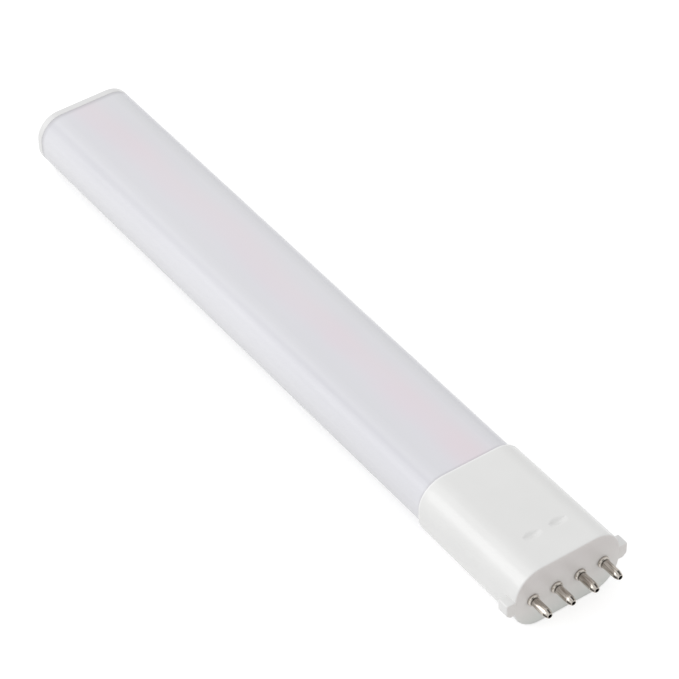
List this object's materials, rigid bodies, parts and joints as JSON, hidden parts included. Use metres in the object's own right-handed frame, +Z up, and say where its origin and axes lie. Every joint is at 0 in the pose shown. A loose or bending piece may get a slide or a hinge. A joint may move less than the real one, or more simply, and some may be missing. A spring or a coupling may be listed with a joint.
{
  "type": "led pl lamp",
  "caption": "Flat LED tube lamp with a milky oval diffuser, a plugged far end and a moulded cap with side lugs and a row of contact pins.",
  "frame": {"origin": "centre of the cap's flat end face, on the line of the pins; the lamp lies on its back", "axes": "+X out along the pins, +Y across the row of pins, +Z up to the lit face"},
  "size_m": [0.2215, 0.0362, 0.0182],
  "materials": {
    "cap_plastic": "satin moulded",
    "diffuser_plastic": "milky, frosted",
    "far_cap_plastic": "satin moulded",
    "pin_metal": "bright nickel plate",
    "spreader_metal": "mill finish",
    "tape": "matt",
    "strip_white": "white solder mask",
    "chip_yellow": "yellow window",
    "board_green": "solder mask",
    "film_case": "dipped case",
    "can_sleeve": "shrink sleeve",
    "ferrite": "sintered",
    "winding": "enamelled wire",
    "case_black": "moulded case",
    "resistor_body": "lacquered",
    "wire": "tinned wire",
    "wire_red": "insulated wire",
    "wire_black": "insulated wire"
  },
  "bodies": {
    "root": {"base_housing": "cap_plastic", "diffuser_tube": "diffuser_plastic", "end_cap": "far_cap_plastic", "pin_1": "pin_metal", "pin_2": "pin_metal", "pin_3": "pin_metal", "pin_4": "pin_metal", "heat_spreader": "spreader_metal", "thermal_tape": "tape", "led_board": "strip_white", "led_chip_01": "chip_yellow", "led_chip_02": "chip_yellow", "led_chip_03": "chip_yellow", "led_chip_04": "chip_yellow", "led_chip_05": "chip_yellow", "led_chip_06": "chip_yellow", "led_chip_07": "chip_yellow", "led_chip_08": "chip_yellow", "led_chip_09": "chip_yellow", "led_chip_10": "chip_yellow", "led_chip_11": "chip_yellow", "led_chip_12": "chip_yellow", "led_chip_13": "chip_yellow", "led_chip_14": "chip_yellow", "led_chip_15": "chip_yellow", "led_chip_16": "chip_yellow", "led_chip_17": "chip_yellow", "led_chip_18": "chip_yellow", "led_chip_19": "chip_yellow", "led_chip_20": "chip_yellow", "led_chip_21": "chip_yellow", "led_chip_22": "chip_yellow", "led_chip_23": "chip_yellow", "led_chip_24": "chip_yellow", "driver_board": "board_green", "film_capacitor": "film_case", "input_capacitor": "can_sleeve", "output_capacitor": "can_sleeve", "inductor_core": "ferrite", "inductor_winding": "winding", "bridge_rectifier": "case_black", "driver_circuit": "case_black", "fuse_resistor": "resistor_body", "pin_lead_1": "wire", "pin_lead_2": "wire", "pin_lead_3": "wire", "pin_lead_4": "wire", "led_lead_positive": "wire_red", "led_lead_negative": "wire_black"}
  },
  "joints": []
}
